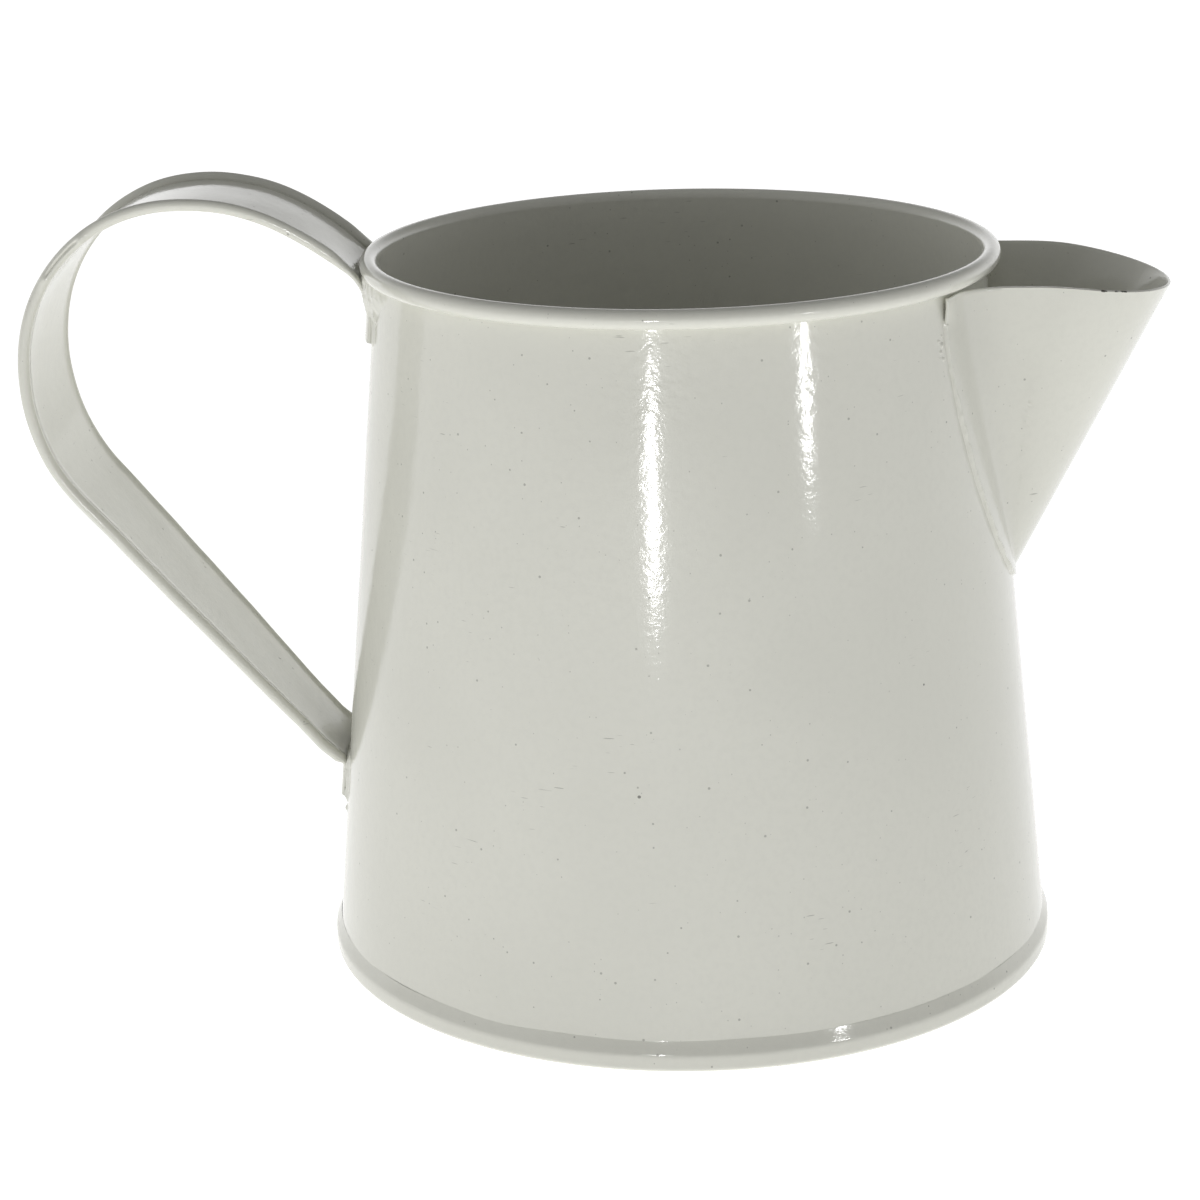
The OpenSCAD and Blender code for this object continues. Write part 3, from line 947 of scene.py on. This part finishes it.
class CanStage(bpy.types.PropertyGroup):
    """Light, floor and camera"""

    floor: colour("Floor", "Colour of the floor", (0.5, 0.5, 0.5))
    floor_glow: number("Floor glow", "Light that the floor gives off", 0.92)
    front_glow: number("Front glow", "Further light from the floor in front", 0.38)
    room: number("Room light", "Strength of the light from above and in front", 0.19)
    backdrop: number("Backdrop light", "Strength of the light from behind", 1.15)
    side: number("Side light", "Strength of the light from the handle's side", 0.45)
    strip: number("Strip light", "Brightness of the two narrow lights", 42.0)
    camera_distance: length("Camera distance", "Level distance of the camera from the can's axis", 0.494)
    camera_height: length("Camera height", "Height of the camera above the floor", 0.212)


# ---------------------------------------------------------------- operators

class Builder(bpy.types.Operator):
    """Shared parts of the operators that build a piece"""

    bl_idname = "can.builder"
    bl_label = "Build"

    def paint(self, context):
        return cached(enamel, "Can_paint", context.scene.can_colours)

    def solder(self, context):
        return cached(enamel, "Can_solder_paint", context.scene.can_colours, 0.05)

    def execute(self, context):
        self.build(context, context.scene.can_sizes)
        return {"FINISHED"}


class CAN_OT_wall(Builder):
    """Build the body's wall with its curled rim and the opening behind the spout"""

    bl_idname = "can.wall"
    bl_label = "Body wall"

    def build(self, context, sizes):
        build_wall(sizes, self.paint(context))


class CAN_OT_rim_wire(Builder):
    """Finish the wire inside the rim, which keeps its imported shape"""

    bl_idname = "can.rim_wire"
    bl_label = "Rim wire"

    def build(self, context, sizes):
        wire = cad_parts["rim_wire"]
        wire.data.materials.clear()
        wire.data.materials.append(cached(bright_wire, "Can_bare_steel", context.scene.can_colours))


class CAN_OT_base(Builder):
    """Build the base with its folded seam"""

    bl_idname = "can.base"
    bl_label = "Base"

    def build(self, context, sizes):
        build_base(self.paint(context))


class CAN_OT_seams(Builder):
    """Build the solder inside the body, round the foot and down the side seam"""

    bl_idname = "can.seams"
    bl_label = "Body solder"

    def build(self, context, sizes):
        build_base_seam(self.solder(context))
        build_side_seam(self.solder(context))


class CAN_OT_spout(Builder):
    """Build the spout from one bent sheet"""

    bl_idname = "can.spout"
    bl_label = "Spout"

    def build(self, context, sizes):
        build_spout(self.paint(context))


class CAN_OT_spout_solder(Builder):
    """Build the solder along both edges of the spout's flange"""

    bl_idname = "can.spout_solder"
    bl_label = "Spout solder"

    def build(self, context, sizes):
        build_spout_solder(self.solder(context), "Spout_solder_left", 1)
        build_spout_solder(self.solder(context), "Spout_solder_right", -1)


class CAN_OT_handle(Builder):
    """Build the strap handle with its rolled edges and tabs"""

    bl_idname = "can.handle"
    bl_label = "Handle"

    def build(self, context, sizes):
        build_strap(sizes, self.paint(context))


class CAN_OT_handle_solder(Builder):
    """Build the solder at both ends of the handle"""

    bl_idname = "can.handle_solder"
    bl_label = "Handle solder"

    def build(self, context, sizes):
        build_top_solder(self.solder(context))
        build_foot_solder(self.solder(context))


class CAN_OT_stage(bpy.types.Operator):
    """Set up the floor, the lights and the camera"""

    bl_idname = "can.stage"
    bl_label = "Stage"

    def execute(self, context):
        stage = context.scene.can_stage
        add_floor(context, stage)
        add_sky(context, stage)
        # Two narrow lights, low and close: degrees from the front towards the spout, then distance, height,
        # width and length
        add_strip(context, "Strip_left", stage, -6.5, 0.40, 0.064, 0.023, 0.058)
        add_strip(context, "Strip_right", stage, 45.2, 0.396, 0.083, 0.017, 0.044)
        add_camera(context, stage)
        context.scene.view_settings.view_transform = "Standard"
        return {"FINISHED"}


def add_floor(context, stage):
    """A wide flat floor at the can's foot."""
    reach, lines = 8.0, 9
    mesh = bpy.data.meshes.new("Floor")
    side = np.linspace(-reach, reach, lines)
    x, y = np.meshgrid(side, side)
    points = np.stack([x, y, 0 * x], axis=-1).reshape(-1, 3)
    mesh.from_pydata(points.tolist(), [], grid_faces(lines, lines).tolist())
    mesh.materials.append(pale_floor("Stage_floor", stage))
    floor = bpy.data.objects.new("Floor", mesh)
    context.scene.collection.objects.link(floor)


def add_sky(context, stage):
    """Soft light from all round: dim above and in front, bright behind, and brighter on the handle's side."""
    world = bpy.data.worlds.new("Studio")
    context.scene.world = world
    world.use_nodes = True
    tree = world.node_tree
    tree.nodes.clear()
    start = Wire(tree)
    at = start.node("ShaderNodeTexCoord", output="Generated")
    towards = [at.node("ShaderNodeSeparateXYZ", None, {"Vector": at}, output=axis) for axis in "XYZ"]
    behind = towards[1].step(0.0, 0.7) * towards[2].step(0.55, 0.12)
    beside = (towards[0].step(-0.2, -0.9) + towards[0].step(0.2, 0.9) * 0.4) * towards[2].step(0.9, 0.5)
    strength = behind * stage.backdrop + beside * stage.side + stage.room
    light = start.node("ShaderNodeBackground", None, {"Color": (1.0, 1.0, 1.0, 1.0), "Strength": strength})
    out = tree.nodes.new("ShaderNodeOutputWorld")
    tree.links.new(light.socket, out.inputs["Surface"])


def add_strip(context, name, stage, azimuth, distance, height, width, tall):
    """An oval light that faces the can's axis and shows only in gloss."""
    area = math.pi * width * tall / 4
    light = bpy.data.lights.new(name, "AREA")
    light.shape = "ELLIPSE"
    light.size, light.size_y = width, tall
    light.energy = stage.strip * math.pi * area
    lamp = bpy.data.objects.new(name, light)
    context.scene.collection.objects.link(lamp)
    turn = azimuth * DEGREE
    lamp.location = (distance * math.sin(turn), -distance * math.cos(turn), height)
    lamp.rotation_euler = (math.pi / 2, 0, turn)
    lamp.visible_camera = False
    lamp.visible_diffuse = False


def add_camera(context, stage):
    """The camera stands a little to the spout's side of the front and looks down at the can."""
    azimuth, yaw, tilt, roll = 3.30 * DEGREE, 1.63 * DEGREE, 17.44 * DEGREE, -1.56 * DEGREE
    camera = bpy.data.cameras.new("Camera")
    camera.lens = 94.4
    camera.sensor_width = 36
    camera.clip_end = 50
    eye = bpy.data.objects.new("Camera", camera)
    context.scene.collection.objects.link(eye)
    heading = azimuth + yaw
    ahead = Vector((-math.sin(heading) * math.cos(tilt), math.cos(heading) * math.cos(tilt), -math.sin(tilt)))
    right = ahead.cross(Vector((0, 0, 1))).normalized()
    above = right.cross(ahead)
    cosine, sine = math.cos(roll), math.sin(roll)
    right, above = right * cosine + above * sine, above * cosine - right * sine
    turn = Matrix((right, above, -ahead)).transposed()
    place = Vector((stage.camera_distance * math.sin(azimuth), -stage.camera_distance * math.cos(azimuth),
                    stage.camera_height))
    eye.matrix_world = Matrix.Translation(place) @ turn.to_4x4()
    context.scene.camera = eye


class CAN_PT_panel(bpy.types.Panel):
    """The sidebar's list of pieces and settings"""

    bl_idname = "CAN_PT_panel"
    bl_label = "Watering can"
    bl_space_type = "VIEW_3D"
    bl_region_type = "UI"
    bl_category = "Can"

    def draw(self, context):
        column = self.layout.column(align=True)
        for step in STEPS:
            column.operator(step.bl_idname)
        for group in (context.scene.can_sizes, context.scene.can_colours, context.scene.can_stage):
            box = self.layout.box()
            for name in group.bl_rna.properties.keys():
                if name not in ("rna_type", "name"):
                    box.prop(group, name)


STEPS = (CAN_OT_stage, CAN_OT_wall, CAN_OT_rim_wire, CAN_OT_base, CAN_OT_seams, CAN_OT_spout,
         CAN_OT_spout_solder, CAN_OT_handle, CAN_OT_handle_solder)
GROUPS = (("can_sizes", CanSizes), ("can_colours", CanColours), ("can_stage", CanStage))


def register():
    for label, group in GROUPS:
        bpy.utils.register_class(group)
        setattr(bpy.types.Scene, label, PointerProperty(type=group))
    for step in STEPS:
        bpy.utils.register_class(step)
    bpy.utils.register_class(CAN_PT_panel)


def unregister():
    bpy.utils.unregister_class(CAN_PT_panel)
    for step in reversed(STEPS):
        bpy.utils.unregister_class(step)
    for label, group in reversed(GROUPS):
        delattr(bpy.types.Scene, label)
        bpy.utils.unregister_class(group)


def main():
    """Registers the add-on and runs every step."""
    register()
    for step in STEPS:
        group, name = step.bl_idname.split(".")
        getattr(getattr(bpy.ops, group), name)()


if __name__ == "__main__":
    main()
